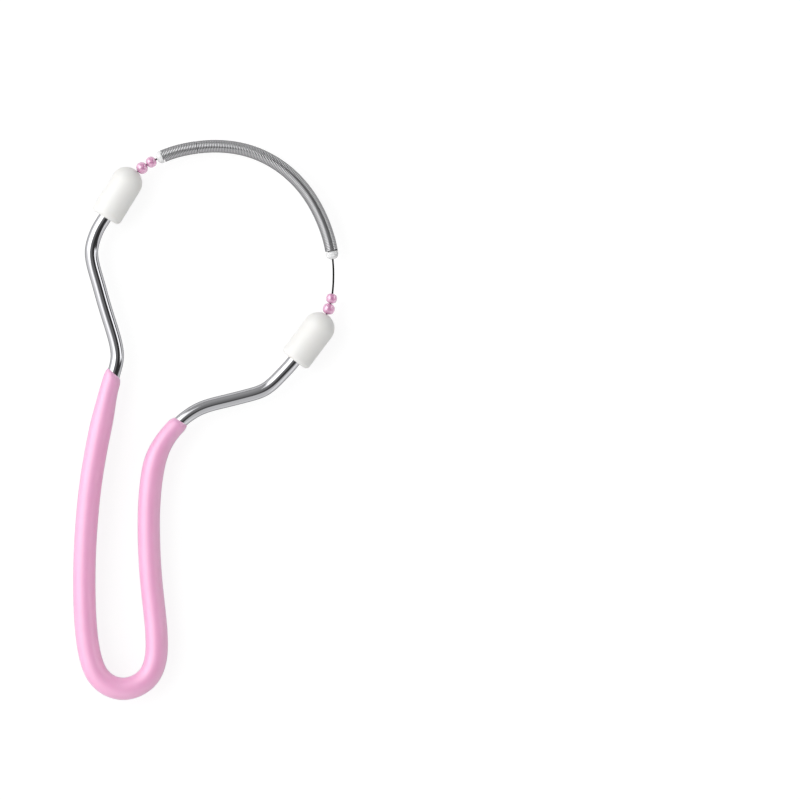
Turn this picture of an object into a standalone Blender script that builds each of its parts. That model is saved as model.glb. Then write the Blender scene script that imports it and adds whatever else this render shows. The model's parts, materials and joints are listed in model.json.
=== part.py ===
"""Facial hair removal spring: a coil spring strung on a wire across the two arms of a bent rod handle.

The tool lies flat, its open head towards +Y and its grip towards -Y. The origin is the middle of its
outline, on the surface that the two caps rest on. Lengths are in metres.
"""

import math

import bmesh
import bpy
import numpy as np
from mathutils import Matrix, Vector

MM = 0.001

# Whole tool
OVERALL_LENGTH = 110.0 * MM
OVERALL_WIDTH = 52.0 * MM
FIT_CLEARANCE = 0.12 * MM
RUNNING_CLEARANCE = 0.15 * MM
STACK_GAP = 0.06 * MM

# Handle rod: one round steel rod, bent cold
ROD_DIAMETER = 2.6 * MM
ROD_END_GAP = 0.48 * MM

# Grip sleeve: soft tube over the U of the rod, thinned to a lip at both ends
SLEEVE_DIAMETER = 4.4 * MM
SLEEVE_SHOULDER_DIAMETER = 3.6 * MM
SLEEVE_LIP_WALL = 0.15 * MM
SLEEVE_SHOULDER_LENGTH = 1.6 * MM
SLEEVE_TAPER_LENGTH = 9.8 * MM
LEFT_BARE_ROD = 31.9 * MM
RIGHT_BARE_ROD = 25.9 * MM

# Caps: moulded, with a blind bore for the rod and a domed nose drilled for the wire
CAP_LENGTH = 11.1 * MM
CAP_DIAMETER = 6.3 * MM
CAP_EDGE_ROUND = 0.9 * MM
CAP_NOSE_WALL = 2.4 * MM
CAP_WIRE_HOLE = 0.9 * MM
LEFT_CAP_LEAN = math.radians(31.4)
RIGHT_CAP_LEAN = math.radians(36.9)

# Core wire and the crimps that hold its two ends
CORE_WIRE_DIAMETER = 0.35 * MM
WIRE_TAIL = 0.3 * MM
BOW_RISE = 19.9 * MM
CRIMP_DIAMETER = 1.6 * MM
CRIMP_LENGTH = 1.8 * MM
CRIMP_CHAMFER = 0.25 * MM

# Beads: the inner two touch the caps, the outer two lie next to them
INNER_BEAD_DIAMETER = 2.25 * MM
OUTER_BEAD_DIAMETER = 2.05 * MM
BEAD_BORE = 0.65 * MM

# Coil spring and the bushes in its ends
SPRING_DIAMETER = 2.5 * MM
SPRING_WIRE = 0.3 * MM
SPRING_PITCH = 0.75 * MM
BARE_WIRE = 6.5 * MM
PLUG_COLLAR = 0.25 * MM
PLUG_SHANK_LENGTH = 1.6 * MM
PLUG_BORE = 1.0 * MM
SPRING_ELBOW = 0.3 * MM

# Limits of the mesh
OVERRUN = 1.0 * MM
ROUTE_STEP = 0.02 * MM
BEND_STRIDE = 4.5 * MM
MERGE_DISTANCE = 0.0001 * MM
TURN_PER_STATION = math.radians(8.0)
CAP_STEPS = 24
BEAD_STEPS = 16
DRILL_STEPS = 12
ROD_BEVEL_RESOLUTION = 4
SLEEVE_BEVEL_RESOLUTION = 6
WIRE_BEVEL_RESOLUTION = 2
COIL_BEVEL_RESOLUTION = 1
POINTS_PER_CURL = 9

# The rod's centre line from the left cap's mouth, round the U, to the right cap's mouth.
# Each point is a share of the overall width and of the overall length, from the middle.
HANDLE_ROUTE_SHARES = [
    (-0.379, 0.361), (-0.399, 0.346), (-0.419, 0.325), (-0.430, 0.301), (-0.424, 0.277),
    (-0.407, 0.248), (-0.384, 0.209), (-0.356, 0.166), (-0.338, 0.135), (-0.333, 0.112),
    (-0.341, 0.091), (-0.358, 0.064), (-0.381, 0.018), (-0.408, -0.043), (-0.432, -0.110),
    (-0.448, -0.182), (-0.456, -0.253), (-0.456, -0.324), (-0.447, -0.388), (-0.431, -0.428),
    (-0.403, -0.457), (-0.358, -0.474), (-0.307, -0.479), (-0.258, -0.473), (-0.215, -0.457),
    (-0.189, -0.428), (-0.184, -0.392), (-0.193, -0.339), (-0.206, -0.280), (-0.213, -0.219),
    (-0.213, -0.160), (-0.204, -0.107), (-0.185, -0.066), (-0.155, -0.037), (-0.119, -0.015),
    (-0.079, 0.003), (-0.022, 0.020), (0.069, 0.033), (0.161, 0.044), (0.221, 0.054),
    (0.260, 0.068), (0.283, 0.079), (0.309, 0.092), (0.334, 0.106),
]

# How far the bow swells out of its circle: (share of the way along it, share of its radius)
BOW_SWELL_SHARES = [
    (0.00, 0.000), (0.12, 0.004), (0.22, 0.001), (0.38, 0.011), (0.48, 0.008), (0.58, -0.003),
    (0.69, -0.014), (0.78, -0.011), (0.87, -0.002), (0.94, 0.009), (1.00, 0.000),
]

# The spring's elbow: (share of a curl turned, share of the elbow's length gone)
ELBOW_SHARES = [(0.0, 0.0), (0.03, 0.6), (0.10, 0.9)]

# Where the sleeve's round lip is cut across: shares of the shoulder's length
LIP_SHARES = [0.0, 0.12, 0.4, 1.0]

# Sizes that follow from the ones above
ROD_RADIUS = ROD_DIAMETER / 2
CAP_RADIUS = CAP_DIAMETER / 2
CAP_BORE_RADIUS = ROD_RADIUS + FIT_CLEARANCE
CAP_BORE_DEPTH = CAP_LENGTH - CAP_NOSE_WALL
WIRE_IN_CAP = FIT_CLEARANCE + CRIMP_LENGTH + WIRE_TAIL
ROD_IN_CAP = CAP_BORE_DEPTH - WIRE_IN_CAP - ROD_END_GAP
CORE_WIRE_RADIUS = CORE_WIRE_DIAMETER / 2
SPRING_RADIUS = SPRING_DIAMETER / 2
COIL_TUBE_RADIUS = SPRING_WIRE / 2
COIL_MEAN_RADIUS = SPRING_RADIUS - COIL_TUBE_RADIUS
PLUG_SHANK_RADIUS = SPRING_RADIUS - SPRING_WIRE - RUNNING_CLEARANCE
PLUG_HEAD_LENGTH = PLUG_COLLAR + SPRING_RADIUS
LIE_HEIGHT = CAP_RADIUS


def smooth_cubic(knots, values, where, slopes=None):
    """Cubic through every value at its knot, smooth in slope and curvature.

    Its ends take the two slopes where they are given, and run out straight where they aren't.
    """
    count = len(knots)
    gaps = np.diff(knots)
    system = np.eye(count)
    known = np.zeros(count)
    for i in range(1, count - 1):
        system[i, i - 1 : i + 2] = gaps[i - 1], 2 * (gaps[i - 1] + gaps[i]), gaps[i]
        slope_change = (values[i + 1] - values[i]) / gaps[i] - (values[i] - values[i - 1]) / gaps[i - 1]
        known[i] = 6 * slope_change
    if slopes is not None:
        system[0, :2] = 2 * gaps[0], gaps[0]
        system[-1, -2:] = gaps[-1], 2 * gaps[-1]
        known[0] = 6 * ((values[1] - values[0]) / gaps[0] - slopes[0])
        known[-1] = 6 * (slopes[1] - (values[-1] - values[-2]) / gaps[-1])
    bend = np.linalg.solve(system, known)
    i = np.clip(np.searchsorted(knots, where, side="right") - 1, 0, count - 2)
    gap = gaps[i]
    after = where - knots[i]
    before = gap - after
    cubic = (bend[i] * before**3 + bend[i + 1] * after**3) / (6 * gap)
    line_start = (values[i] / gap - bend[i] * gap / 6) * before
    line_end = (values[i + 1] / gap - bend[i + 1] * gap / 6) * after
    return cubic + line_start + line_end


class Route:
    """A flat centre line, walked by distance: place() gives the point there and heading() the way it runs."""

    def __init__(self, points):
        steps = np.hypot(*np.diff(points, axis=0).T)
        self.points = points
        self.distance = np.concatenate([[0.0], np.cumsum(steps)])
        self.length = self.distance[-1]

    def place(self, distance):
        x = np.interp(distance, self.distance, self.points[:, 0])
        y = np.interp(distance, self.distance, self.points[:, 1])
        return np.array([x, y])

    def heading(self, distance):
        behind = max(distance - ROUTE_STEP, 0.0)
        ahead = min(distance + ROUTE_STEP, self.length)
        run = self.place(ahead) - self.place(behind)
        return run / np.hypot(*run)

    def clear_of(self, centre, reach, start, way):
        """The nearest distance past start, going up (way 1) or down (way -1), that is reach from centre."""
        far = np.hypot(*(self.points - centre).T) >= reach
        beyond = way * (self.distance - start) > 0
        found = self.distance[far & beyond]
        return found.min() if way > 0 else found.max()

    def stations(self, start, end):
        """Distances from start to end, close together where the route turns and wide where it is straight."""
        found = [start]
        last = self.heading(start)
        for distance in np.arange(start, end, ROUTE_STEP):
            now = self.heading(distance)
            turned = abs(math.atan2(last[0] * now[1] - last[1] * now[0], last @ now))
            if turned > TURN_PER_STATION or distance - found[-1] > BEND_STRIDE:
                found.append(distance)
                last = now
        if end - found[-1] < ROD_RADIUS and len(found) > 1:
            found.pop()
        return found + [end]


def cap_way(lean):
    """The flat way from a cap's mouth to its nose, leaning this far to the right of straight up."""
    return np.array([math.sin(lean), math.cos(lean)])


def handle_route():
    """The rod from its end inside the left cap to its end inside the right cap, straight within the caps."""
    size = np.array([OVERALL_WIDTH, OVERALL_LENGTH])
    chosen = np.array(HANDLE_ROUTE_SHARES) * size
    knots = np.concatenate([[0.0], np.cumsum(np.hypot(*np.diff(chosen, axis=0).T))])
    where = np.append(np.arange(0.0, knots[-1], ROUTE_STEP), knots[-1])
    left_way = cap_way(LEFT_CAP_LEAN)
    right_way = cap_way(RIGHT_CAP_LEAN)
    slopes = np.array([-left_way, right_way])
    smooth = [smooth_cubic(knots, chosen[:, axis], where, slopes[:, axis]) for axis in (0, 1)]
    smooth = np.column_stack(smooth)
    left_end = smooth[0] + left_way * ROD_IN_CAP
    right_end = smooth[-1] + right_way * ROD_IN_CAP
    return Route(np.vstack([left_end, smooth, right_end]))


def bow_route(left_seat, right_seat):
    """The wire from seat to seat: a circle through both, BOW_RISE high off their chord, gently swollen."""
    chord = right_seat - left_seat
    half = np.hypot(*chord) / 2
    radius = (BOW_RISE**2 + half**2) / (2 * BOW_RISE)
    outward = np.array([-chord[1], chord[0]]) / np.hypot(*chord)
    centre = (left_seat + right_seat) / 2 + outward * (BOW_RISE - radius)
    start = math.atan2(*(left_seat - centre)[::-1])
    swept = 2 * math.atan2(half, radius - BOW_RISE)
    along, swell = np.array(BOW_SWELL_SHARES).T
    share = np.linspace(0.0, 1.0, round(radius * swept / ROUTE_STEP))
    reach = radius * (1 + smooth_cubic(along, swell, share))
    angle = start - swept * share
    points = np.column_stack([centre[0] + reach * np.cos(angle), centre[1] + reach * np.sin(angle)])
    return Route(points), centre, radius


def finish(name, colour, metallic, roughness):
    """One Principled material, named for its piece."""
    material = bpy.data.materials.new(name)
    material.use_nodes = True
    shader = material.node_tree.nodes["Principled BSDF"]
    shader.inputs["Base Color"].default_value = (*colour, 1.0)
    shader.inputs["Metallic"].default_value = metallic
    shader.inputs["Roughness"].default_value = roughness
    return material


POLISHED_STEEL = ((0.62, 0.62, 0.64), 1.0, 0.12)
SPRING_STEEL = ((0.52, 0.52, 0.53), 1.0, 0.32)
DARK_STEEL = ((0.05, 0.05, 0.055), 1.0, 0.4)
CRIMP_BRASS = ((0.62, 0.5, 0.28), 1.0, 0.35)
PINK_SLEEVE = ((0.93, 0.5, 0.7), 0.0, 0.5)
WHITE_CAP = ((0.88, 0.88, 0.86), 0.0, 0.35)
PINK_BEAD = ((0.86, 0.33, 0.58), 0.0, 0.12)
CLEAR_PLUG = ((0.86, 0.87, 0.88), 0.0, 0.25)


def collection(name):
    made = bpy.data.collections.new(name)
    bpy.context.scene.collection.children.link(made)
    return made


def add(name, data, look, group):
    made = bpy.data.objects.new(name, data)
    data.materials.append(finish(name, *look))
    group.objects.link(made)
    return made


def flat_points(route, distances):
    """Points of the route at these distances, at the height of the tool's centre plane."""
    return [Vector((*route.place(distance), LIE_HEIGHT)) for distance in distances]


def tube(name, points, radius, resolution, look, group, shares=None, twist="Z_UP"):
    """A round tube along the points. Shares, where given, thin or widen it point by point."""
    curve = bpy.data.curves.new(name, "CURVE")
    curve.dimensions = "3D"
    curve.twist_mode = twist
    curve.bevel_depth = radius
    curve.bevel_resolution = resolution
    curve.use_fill_caps = True
    line = curve.splines.new("POLY")
    line.points.add(len(points) - 1)
    for i, point in enumerate(points):
        line.points[i].co = (*point, 1.0)
        line.points[i].radius = 1.0 if shares is None else shares[i]
    line.use_smooth = True
    return add(name, curve, look, group)


def as_mesh(curve_object, look, group):
    """The curve's tube as a mesh of its own with welded caps, in the curve's place."""
    graph = bpy.context.evaluated_depsgraph_get()
    mesh = bpy.data.meshes.new_from_object(curve_object.evaluated_get(graph))
    welder = bmesh.new()
    welder.from_mesh(mesh)
    bmesh.ops.remove_doubles(welder, verts=welder.verts, dist=MERGE_DISTANCE)
    welder.to_mesh(mesh)
    welder.free()
    mesh.materials.clear()
    name = curve_object.name
    place = curve_object.matrix_world.copy()
    bpy.data.objects.remove(curve_object)
    made = add(name, mesh, look, group)
    made.matrix_world = place
    return made


def arc(centre_height, radius, start, end, count, centre_reach=0.0):
    """Profile points (reach, height) on a circle, between two angles in degrees above the reach axis."""
    angles = np.radians(np.linspace(start, end, count))
    return [(centre_reach + radius * math.cos(a), centre_height + radius * math.sin(a)) for a in angles]


def turned(name, profile, steps, look, group, ring):
    """A turned piece about its own Z. Its profile runs down the outer side, and a ring's closes on itself."""
    mesh = bpy.data.meshes.new(name)
    count = len(profile)
    edges = [(i, i + 1) for i in range(count - 1)] + ([(count - 1, 0)] if ring else [])
    mesh.from_pydata([(reach, 0.0, height) for reach, height in profile], edges, [])
    made = add(name, mesh, look, group)
    turn = made.modifiers.new("Turn", "SCREW")
    turn.axis = "Z"
    turn.steps = steps
    turn.render_steps = steps
    turn.use_merge_vertices = True
    turn.merge_threshold = MERGE_DISTANCE
    turn.use_smooth_shade = True
    return made


def aim(made, place, way, parent=None):
    """Puts the piece at a flat place with its Z along a flat way and its X straight up."""
    side = Vector((way[1], -way[0], 0.0))
    turn = Matrix((Vector((0.0, 0.0, 1.0)), side, Vector((*way, 0.0)))).transposed()
    origin = Vector((*place, LIE_HEIGHT))
    made.parent = parent
    made.location = origin - parent.location if parent else origin
    made.rotation_euler = turn.to_euler()


def make_rod(handle, stations, group):
    points = flat_points(handle, stations)
    return tube("handle_rod", points, ROD_RADIUS, ROD_BEVEL_RESOLUTION, POLISHED_STEEL, group)


def sleeve_reach(depth):
    """The sleeve's outer radius at this depth from its nearer end: a round lip, then a slow taper."""
    lip = ROD_RADIUS + FIT_CLEARANCE + SLEEVE_LIP_WALL
    shoulder = SLEEVE_SHOULDER_DIAMETER / 2
    if depth < SLEEVE_SHOULDER_LENGTH:
        rest = 1 - depth / SLEEVE_SHOULDER_LENGTH
        return lip + (shoulder - lip) * math.sqrt(1 - rest**2)
    share = min((depth - SLEEVE_SHOULDER_LENGTH) / SLEEVE_TAPER_LENGTH, 1.0)
    return shoulder + (SLEEVE_DIAMETER / 2 - shoulder) * share * share * (3 - 2 * share)


def make_sleeve(handle, stations, start, end, group, cutters):
    """The soft tube, bored for the rod by a cutter that runs on past both of its ends."""
    inside = [d for d in stations if start <= d <= end]
    reach = [sleeve_reach(min(d - start, end - d)) for d in inside]
    full = max(reach)
    shares = [r / full for r in reach]
    points = flat_points(handle, inside)
    sleeve = tube("grip_sleeve", points, full, SLEEVE_BEVEL_RESOLUTION, PINK_SLEEVE, group, shares)
    sleeve = as_mesh(sleeve, PINK_SLEEVE, group)
    bored = [d for d in stations if start - OVERRUN <= d <= end + OVERRUN]
    radius = ROD_RADIUS + FIT_CLEARANCE
    points = flat_points(handle, bored)
    cutter = tube("sleeve_bore", points, radius, ROD_BEVEL_RESOLUTION, PINK_SLEEVE, cutters)
    cutter = as_mesh(cutter, PINK_SLEEVE, cutters)
    cut_away(sleeve, cutter)
    sleeve.data.shade_smooth()
    return sleeve


def cut_away(made, cutter):
    cutter.hide_render = True
    cutter.display_type = "WIRE"
    cut = made.modifiers.new(cutter.name, "BOOLEAN")
    cut.operation = "DIFFERENCE"
    cut.solver = "EXACT"
    cut.object = cutter


def make_cap(name, mouth, way, wire_way, seat, group, cutters):
    """A domed cap: blind bore for the rod, and a hole through the nose in line with the bow."""
    edge = CAP_EDGE_ROUND
    dome = arc(CAP_LENGTH - CAP_RADIUS, CAP_RADIUS, 90.0, 0.0, 8)
    dome[0] = (0.0, CAP_LENGTH)
    rim = arc(edge, edge, 0.0, -90.0, 4, CAP_RADIUS - edge)
    bore = [(CAP_BORE_RADIUS, 0.0), (CAP_BORE_RADIUS, CAP_BORE_DEPTH), (0.0, CAP_BORE_DEPTH)]
    cap = turned(name, dome + rim + bore, CAP_STEPS, WHITE_CAP, group, ring=False)
    aim(cap, mouth, way)
    depth = CAP_NOSE_WALL + 2 * OVERRUN
    drill_mesh = bpy.data.meshes.new(name + "_wire_hole")
    drill = add(name + "_wire_hole", drill_mesh, WHITE_CAP, cutters)
    builder = bmesh.new()
    radius = CAP_WIRE_HOLE / 2
    bmesh.ops.create_cone(
        builder, cap_ends=True, segments=DRILL_STEPS, radius1=radius, radius2=radius, depth=depth
    )
    builder.to_mesh(drill_mesh)
    builder.free()
    aim(drill, seat + wire_way * (depth / 2 - OVERRUN), wire_way)
    cut_away(cap, drill)
    return cap


def make_crimp(name, seat, way, group):
    """A sleeve squeezed on the wire's end, one fit clearance short of the end of the cap's bore."""
    bore = CORE_WIRE_RADIUS + FIT_CLEARANCE
    outer = CRIMP_DIAMETER / 2
    top = CRIMP_LENGTH
    chamfer = CRIMP_CHAMFER
    profile = [(bore, top), (outer - chamfer, top), (outer, top - chamfer)]
    profile += [(outer, chamfer), (outer - chamfer, 0.0), (bore, 0.0)]
    crimp = turned(name, profile, BEAD_STEPS, CRIMP_BRASS, group, ring=True)
    aim(crimp, seat - way * (CRIMP_LENGTH + FIT_CLEARANCE), way)
    return crimp


def make_bead(name, bow, distance, radius, group):
    """A round bead, bored for the wire, turning about the wire's own line."""
    edge = math.degrees(math.acos(BEAD_BORE / 2 / radius))
    bead = turned(name, arc(0.0, radius, edge, -edge, 9), BEAD_STEPS, PINK_BEAD, group, ring=True)
    aim(bead, bow.place(distance), bow.heading(distance))
    return bead


def make_plug(name, bow, distance, nose_way, group, parent):
    """A bush in the spring's end: domed head, shoulder for the last curl, and a shank inside the curls."""
    bore = PLUG_BORE / 2
    edge = math.degrees(math.acos(bore / SPRING_RADIUS))
    profile = arc(PLUG_COLLAR, SPRING_RADIUS, edge, 0.0, 6)
    profile += [(SPRING_RADIUS, 0.0), (PLUG_SHANK_RADIUS, 0.0)]
    profile += [(PLUG_SHANK_RADIUS, -PLUG_SHANK_LENGTH), (bore, -PLUG_SHANK_LENGTH)]
    plug = turned(name, profile, BEAD_STEPS, CLEAR_PLUG, group, ring=True)
    aim(plug, bow.place(distance), bow.heading(distance) * nose_way, parent)
    return plug


def coil_points(bow, start, end):
    """The spring's wire: a straight square end, its curls about the bow, and a straight square end again.

    A curl carries a point round the bow at the coil's mean radius while the distance along it grows by
    one pitch. The elbow at each end turns from along the bow to round it over a fifth of a curl.
    """
    straight = SPRING_WIRE
    curls = round((end - start - 2 * (straight + SPRING_ELBOW)) / SPRING_PITCH)
    entry = [(0.0, start)]
    entry += [(turn, start + straight + SPRING_ELBOW * gone) for turn, gone in ELBOW_SHARES]
    leave = [(curls - turn, start + end - distance) for turn, distance in reversed(entry)]
    first = ELBOW_SHARES[-1][0]
    count = round((curls - 2 * first) * POINTS_PER_CURL)
    turns = np.linspace(first, curls - first, count + 1)[1:-1]
    rise = (leave[0][1] - entry[-1][1]) / (leave[0][0] - entry[-1][0])
    wound = [(turn, entry[-1][1] + rise * (turn - first)) for turn in turns]
    points = []
    for turn, distance in entry + wound + leave:
        angle = math.tau * turn
        ahead = bow.heading(distance)
        side = np.array([-ahead[1], ahead[0]]) * math.cos(angle) * COIL_MEAN_RADIUS
        flat = bow.place(distance) + side
        points.append(Vector((*flat, LIE_HEIGHT + COIL_MEAN_RADIUS * math.sin(angle))))
    return points, curls


def least_gap(points):
    """The least free space between curls, measured between points that are half a curl apart or more."""
    line = np.array(points)
    apart = np.linalg.norm(line[:, None] - line[None, :], axis=2)
    order = np.arange(len(line))
    far = np.abs(order[:, None] - order[None, :]) > POINTS_PER_CURL / 2
    return apart[far].min() - SPRING_WIRE


def make_spring(bow, start, end, group, parent):
    points, curls = coil_points(bow, start, end)
    local = [point - parent.location for point in points]
    look = SPRING_STEEL
    spring = tube("coil_spring", local, COIL_TUBE_RADIUS, COIL_BEVEL_RESOLUTION, look, group, twist="MINIMUM")
    spring.parent = parent
    print(f"coil_spring: {curls} curls, least gap to itself {least_gap(points) / MM:.3f} mm")
    return spring


def make_wire(bow, left, right, group):
    """The core wire: a straight tail through each crimp, and the bow between the two seats."""
    flat = [left["seat"] - left["way"] * WIRE_IN_CAP]
    flat += [bow.place(distance) for distance in bow.stations(0.0, bow.length)]
    flat.append(right["seat"] - right["way"] * WIRE_IN_CAP)
    points = [Vector((*point, LIE_HEIGHT)) for point in flat]
    return tube("core_wire", points, CORE_WIRE_RADIUS, WIRE_BEVEL_RESOLUTION, DARK_STEEL, group)


def cap_frame(mouth, way):
    """The cap's mouth, the way to its nose, the seat at the end of its bore and the centre of its dome."""
    dome = mouth + way * (CAP_LENGTH - CAP_RADIUS)
    return {"mouth": mouth, "way": way, "seat": mouth + way * CAP_BORE_DEPTH, "dome": dome}


def clear_scene():
    for old in list(bpy.data.objects):
        bpy.data.objects.remove(old)


def say(name, flat):
    print(f"{name}: {flat[0]:.6f}, {flat[1]:.6f}, {LIE_HEIGHT:.6f}")


def handle_stations(handle, start, end):
    """Where the rod and the sleeve are both cut across, so that their facets keep one clearance apart."""
    depths = [share * SLEEVE_SHOULDER_LENGTH for share in LIP_SHARES]
    lips = [start + depth for depth in depths] + [end - depth for depth in depths]
    bare_left = handle.stations(0.0, start - OVERRUN)
    covered = handle.stations(start + SLEEVE_SHOULDER_LENGTH, end - SLEEVE_SHOULDER_LENGTH)
    bare_right = handle.stations(end + OVERRUN, handle.length)
    return sorted(set(bare_left + covered + bare_right + lips))


def make_handle(handle, parts, cutters):
    start = ROD_IN_CAP + LEFT_BARE_ROD
    end = handle.length - ROD_IN_CAP - RIGHT_BARE_ROD
    stations = handle_stations(handle, start, end)
    make_rod(handle, stations, parts)
    make_sleeve(handle, stations, start, end, parts, cutters)


def make_cap_end(name, cap, leaves, parts, cutters):
    """One cap and the crimp inside it. Its wire hole runs from the seat to where the wire leaves it."""
    run = leaves - cap["seat"]
    wire_way = run / np.hypot(*run)
    make_cap(name + "_cap", cap["mouth"], cap["way"], wire_way, cap["seat"], parts, cutters)
    make_crimp(name + "_crimp", cap["seat"], cap["way"], parts)
    say(name + " mouth", cap["mouth"])
    say(name + " way", cap["way"])


def make_beads(name, bow, cap, start, way, parts):
    """The cap's two beads, each walked along the wire until it clears what comes before it."""
    inner = INNER_BEAD_DIAMETER / 2
    outer = OUTER_BEAD_DIAMETER / 2
    first = bow.clear_of(cap["dome"], CAP_RADIUS + STACK_GAP + inner, start, way)
    second = bow.clear_of(bow.place(first), inner + STACK_GAP + outer, first, way)
    make_bead(name + "_inner_bead", bow, first, inner, parts)
    make_bead(name + "_outer_bead", bow, second, outer, parts)
    for bead, distance in (("inner", first), ("outer", second)):
        say(f"{name} {bead} bead", bow.place(distance))
        say(f"{name} {bead} heading", bow.heading(distance))
    return second + way * outer


def make_roller(bow, centre, left_end, right_end, parts):
    """The spring and its bushes, on an empty at the bow's centre, which they slide about along the wire."""
    slide = bpy.data.objects.new("spring_slide", None)
    slide.location = (*centre, LIE_HEIGHT)
    parts.objects.link(slide)
    left_shoulder = left_end + STACK_GAP + PLUG_HEAD_LENGTH
    right_shoulder = right_end - BARE_WIRE - PLUG_HEAD_LENGTH
    make_plug("left_end_plug", bow, left_shoulder, -1, parts, slide)
    make_plug("right_end_plug", bow, right_shoulder, 1, parts, slide)
    make_spring(bow, left_shoulder + STACK_GAP, right_shoulder - STACK_GAP, parts, slide)
    say("bow centre", centre)
    for name, shoulder in (("left", left_shoulder), ("right", right_shoulder)):
        say(name + " plug", bow.place(shoulder))
        say(name + " plug heading", bow.heading(shoulder))


def build():
    clear_scene()
    parts = collection("facial_hair_removal_spring")
    cutters = collection("cutters")
    handle = handle_route()
    make_handle(handle, parts, cutters)
    left = cap_frame(handle.place(ROD_IN_CAP), cap_way(LEFT_CAP_LEAN))
    right = cap_frame(handle.place(handle.length - ROD_IN_CAP), cap_way(RIGHT_CAP_LEAN))
    bow, centre, radius = bow_route(left["seat"], right["seat"])
    left_exit = bow.clear_of(left["dome"], CAP_RADIUS, 0.0, 1)
    right_exit = bow.clear_of(right["dome"], CAP_RADIUS, bow.length, -1)
    make_cap_end("left", left, bow.place(left_exit), parts, cutters)
    make_cap_end("right", right, bow.place(right_exit), parts, cutters)
    make_wire(bow, left, right, parts)
    left_end = make_beads("left", bow, left, left_exit, 1, parts)
    right_end = make_beads("right", bow, right, right_exit, -1, parts)
    make_roller(bow, centre, left_end, right_end, parts)
    slide = math.degrees(BARE_WIRE / radius)
    print(f"bow radius {radius / MM:.3f} mm, slide {slide:.2f} degrees to the bead")


build()
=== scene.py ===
# %% [markdown]
# # A facial hair removal spring
#
# This tool is a close-wound spring, bowed on a wire between the two ends of a bent steel rod.
# The rod's long U is the grip, under a soft pink sleeve. Every visible piece is rebuilt here as
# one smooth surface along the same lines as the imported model, and gets its finish from nodes.
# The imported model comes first: it is the frame that all the pieces are placed in, in metres,
# with the tool lying flat and +Z up.

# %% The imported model
import functools
import json
import math

import bpy
import numpy as np
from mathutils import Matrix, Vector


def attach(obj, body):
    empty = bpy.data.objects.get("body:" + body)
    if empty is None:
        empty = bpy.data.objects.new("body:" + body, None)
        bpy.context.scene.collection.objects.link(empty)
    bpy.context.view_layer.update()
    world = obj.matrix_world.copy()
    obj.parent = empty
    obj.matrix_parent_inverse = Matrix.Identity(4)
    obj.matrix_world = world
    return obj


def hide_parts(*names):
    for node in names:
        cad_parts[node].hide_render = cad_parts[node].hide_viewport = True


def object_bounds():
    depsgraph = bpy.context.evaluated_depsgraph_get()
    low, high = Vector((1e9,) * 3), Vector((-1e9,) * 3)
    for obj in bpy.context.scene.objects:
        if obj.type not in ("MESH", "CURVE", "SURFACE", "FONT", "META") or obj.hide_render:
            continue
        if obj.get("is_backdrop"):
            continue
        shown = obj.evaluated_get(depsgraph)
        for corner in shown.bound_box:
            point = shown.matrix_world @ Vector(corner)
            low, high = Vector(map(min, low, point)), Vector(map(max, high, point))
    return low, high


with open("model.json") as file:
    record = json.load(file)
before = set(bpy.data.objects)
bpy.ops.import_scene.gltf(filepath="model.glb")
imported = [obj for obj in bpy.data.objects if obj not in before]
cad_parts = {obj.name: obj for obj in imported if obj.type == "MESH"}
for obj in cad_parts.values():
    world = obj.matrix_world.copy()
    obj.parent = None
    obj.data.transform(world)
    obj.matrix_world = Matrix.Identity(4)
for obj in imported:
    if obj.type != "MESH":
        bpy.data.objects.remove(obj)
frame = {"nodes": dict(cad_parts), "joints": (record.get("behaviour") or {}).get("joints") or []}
cad_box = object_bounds()
MM = 0.001
joints = {joint["name"]: joint for joint in frame["joints"]}

# %% [markdown]
# ## Camera
#
# The picture looks straight down on the tool with no visible perspective, so the camera is
# orthographic. Its scale comes from one known size: the tool is 110 mm long and takes up 561 of
# the picture's 800 pixels. The tool sits left of the middle, so the camera stands to the right
# of it and a little above.

# %% The camera
TOOL_LENGTH = 110.0 * MM
LENGTH_IN_PIXELS = 561
PICTURE_PIXELS = 800
PICTURE_MIDDLE = (38.13 * MM, 3.93 * MM)
CAMERA_HEIGHT = 400.0 * MM
NEAREST_SEEN = 10.0 * MM
FURTHEST_SEEN = 5.0

camera = bpy.data.cameras.new("camera")
camera.type = "ORTHO"
camera.ortho_scale = PICTURE_PIXELS * TOOL_LENGTH / LENGTH_IN_PIXELS
camera.clip_start = NEAREST_SEEN
camera.clip_end = FURTHEST_SEEN
camera_object = bpy.data.objects.new("camera", camera)
camera_object.location = (*PICTURE_MIDDLE, CAMERA_HEIGHT)
bpy.context.scene.collection.objects.link(camera_object)
bpy.context.scene.camera = camera_object
bpy.context.scene.view_settings.view_transform = "Standard"
print(f"the picture is {camera.ortho_scale / MM:.1f} mm wide")

# %% [markdown]
# ## Node helpers
#
# A finish, and the room's light too, is a small graph of nodes. These helpers keep each graph
# to a few readable lines: one adds a node and sets its sockets by name, one joins two sockets,
# and two make the ramp and the spread that most graphs need.

# %% Adding and joining nodes
def add_node(tree, kind, settings=None, **sockets):
    """A new node of this kind, with its properties set, and its input sockets set by name."""
    node = tree.nodes.new(kind)
    for name, value in (settings or {}).items():
        setattr(node, name, value)
    for name, value in sockets.items():
        node.inputs[name.replace("_", " ")].default_value = value
    return node


def join(tree, source, output, target, socket):
    """Links one node's output to another node's socket."""
    tree.links.new(source.outputs[output], target.inputs[socket])


def ramp(tree, stops):
    """A Color Ramp from (place, grey) stops, or (place, colour) stops."""
    node = tree.nodes.new("ShaderNodeValToRGB")
    elements = node.color_ramp.elements
    while len(elements) < len(stops):
        elements.new(1.0)
    for element, (place, value) in zip(elements, stops):
        element.position = place
        colour = value if isinstance(value, tuple) else (value,) * 3
        element.color = (*colour, 1.0)
    return node


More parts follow.
